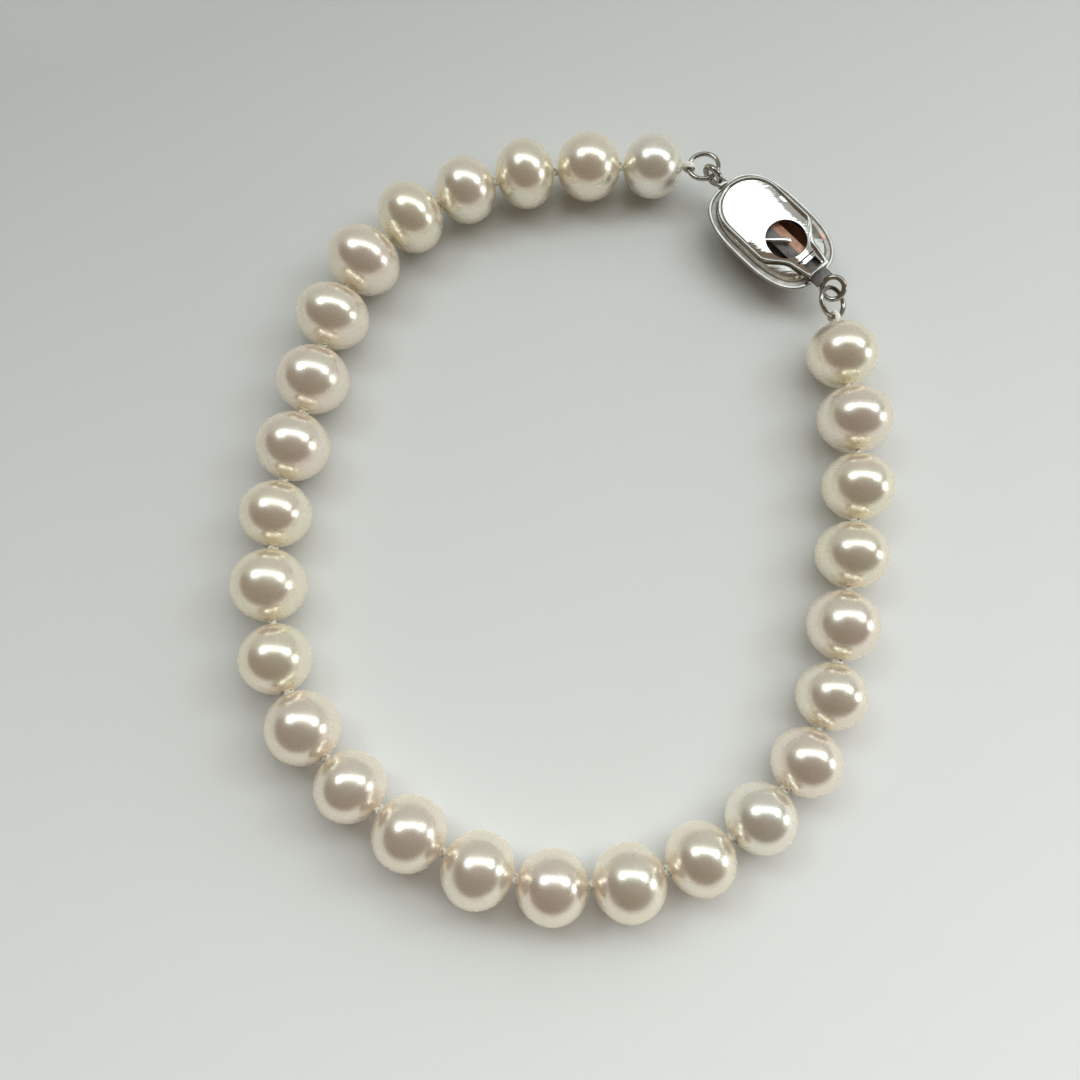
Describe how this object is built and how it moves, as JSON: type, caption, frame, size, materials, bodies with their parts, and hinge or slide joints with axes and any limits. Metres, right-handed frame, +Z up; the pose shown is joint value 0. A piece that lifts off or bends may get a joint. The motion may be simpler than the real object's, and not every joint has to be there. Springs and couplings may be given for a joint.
{
  "type": "pearl bracelet",
  "caption": "Loop of near-round pearls knotted on a thread, closed by jump rings and an oval silver box clasp with its tongue, lying flat with the clasp's back up.",
  "frame": {"origin": "on the surface that the bracelet lies on, under the middle of its bounding box", "axes": "+Z up from the surface, +Y along the loop's longer way towards the clasp, +X across it"},
  "size_m": [0.0576, 0.0708, 0.0069],
  "materials": {
    "pearl": "lustrous nacre, creamy white with a pink and green overtone",
    "thread": "white twisted beading thread",
    "silver": "mirror-polished sterling silver"
  },
  "bodies": {
    "root": {"pearl_01": "pearl", "pearl_02": "pearl", "pearl_03": "pearl", "pearl_04": "pearl", "pearl_05": "pearl", "pearl_06": "pearl", "pearl_07": "pearl", "pearl_08": "pearl", "pearl_09": "pearl", "pearl_10": "pearl", "pearl_11": "pearl", "pearl_12": "pearl", "pearl_13": "pearl", "pearl_14": "pearl", "pearl_15": "pearl", "pearl_16": "pearl", "pearl_17": "pearl", "pearl_18": "pearl", "pearl_19": "pearl", "pearl_20": "pearl", "pearl_21": "pearl", "pearl_22": "pearl", "pearl_23": "pearl", "pearl_24": "pearl", "pearl_25": "pearl", "pearl_26": "pearl", "pearl_27": "pearl", "thread": "thread", "jump_ring_upper": "silver", "jump_ring_lower": "silver", "clasp_body": "silver", "clasp_tongue": "silver"}
  },
  "joints": []
}
